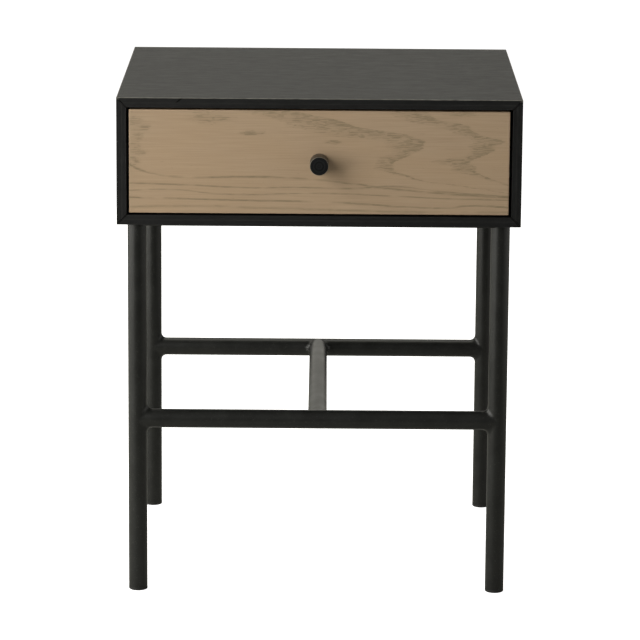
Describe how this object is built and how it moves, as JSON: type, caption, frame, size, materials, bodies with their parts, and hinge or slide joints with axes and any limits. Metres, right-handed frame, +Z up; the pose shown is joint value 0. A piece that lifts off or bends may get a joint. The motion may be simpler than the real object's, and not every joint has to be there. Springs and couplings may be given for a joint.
{
  "type": "side table with drawer",
  "caption": "Square-edged side table: a mitred dark oak case with an inset light oak drawer and round knob, on straight round steel legs joined by an H-shaped stretcher.",
  "frame": {"origin": "on the floor, under the middle of the whole table with its knob: the middle of the bottom of its box", "axes": "+X to the right seen from the front, +Y from the front towards the back, +Z up; the drawer opens along -Y"},
  "size_m": [0.45, 0.4242, 0.568],
  "materials": {
    "black_oak": "black-stained open-grain oak veneer under matt lacquer",
    "light_oak": "greige-stained oak veneer under matt lacquer",
    "drawer_wood": "sanded pale hardwood, clear lacquer",
    "drawer_plywood": "thin plywood with a clear-lacquered face",
    "black_steel": "satin black powder coat with a fine texture",
    "black_knob": "semi-matt black coating on turned metal",
    "black_plastic": "moulded black plastic",
    "black_rail": "black electrocoated sheet steel",
    "zinc_steel": "bright zinc-plated steel"
  },
  "bodies": {
    "table": {"back_bar_screw_left": "zinc_steel", "back_bar_screw_right": "zinc_steel", "back_left_foot_cap": "black_plastic", "back_left_leg": "black_steel", "back_panel": "black_oak", "back_right_foot_cap": "black_plastic", "back_right_leg": "black_steel", "back_stretcher": "black_steel", "back_top_bar": "black_steel", "bottom_panel": "black_oak", "cabinet_rail_screw_left_back": "zinc_steel", "cabinet_rail_screw_left_front": "zinc_steel", "cabinet_rail_screw_right_back": "zinc_steel", "cabinet_rail_screw_right_front": "zinc_steel", "centre_stretcher": "black_steel", "front_bar_screw_left": "zinc_steel", "front_bar_screw_right": "zinc_steel", "front_left_foot_cap": "black_plastic", "front_left_leg": "black_steel", "front_right_foot_cap": "black_plastic", "front_right_leg": "black_steel", "front_stretcher": "black_steel", "front_top_bar": "black_steel", "left_bar_screw_back": "zinc_steel", "left_bar_screw_front": "zinc_steel", "left_cabinet_rail": "black_rail", "left_side_panel": "black_oak", "left_top_bar": "black_steel", "right_bar_screw_back": "zinc_steel", "right_bar_screw_front": "zinc_steel", "right_cabinet_rail": "black_rail", "right_side_panel": "black_oak", "right_top_bar": "black_steel", "top_panel": "black_oak"},
    "drawer": {"drawer_back": "drawer_wood", "drawer_bottom": "drawer_plywood", "drawer_box_front": "drawer_wood", "drawer_front": "light_oak", "drawer_knob": "black_knob", "drawer_left_side": "drawer_wood", "drawer_rail_screw_left_back": "zinc_steel", "drawer_rail_screw_left_front": "zinc_steel", "drawer_rail_screw_right_back": "zinc_steel", "drawer_rail_screw_right_front": "zinc_steel", "drawer_right_side": "drawer_wood", "front_screw_left": "zinc_steel", "front_screw_right": "zinc_steel", "knob_screw": "zinc_steel", "left_drawer_rail": "black_rail", "right_drawer_rail": "black_rail"},
    "left_ball_cage": {"left_ball_cage": "black_rail"},
    "right_ball_cage": {"right_ball_cage": "black_rail"}
  },
  "joints": [
    {"name": "drawer_slide", "type": "slide", "parent": "table", "child": "drawer", "axis": [0, -1, 0], "range_m": [0, 0.25]},
    {"name": "left_cage_slide", "type": "slide", "parent": "table", "child": "left_ball_cage", "axis": [0, -1, 0], "range_m": [0, 0.125]},
    {"name": "right_cage_slide", "type": "slide", "parent": "table", "child": "right_ball_cage", "axis": [0, -1, 0], "range_m": [0, 0.125]}
  ],
  "couplings": [
    {"joint": "left_cage_slide", "follows": "drawer_slide", "ratio": 0.5},
    {"joint": "right_cage_slide", "follows": "drawer_slide", "ratio": 0.5}
  ]
}
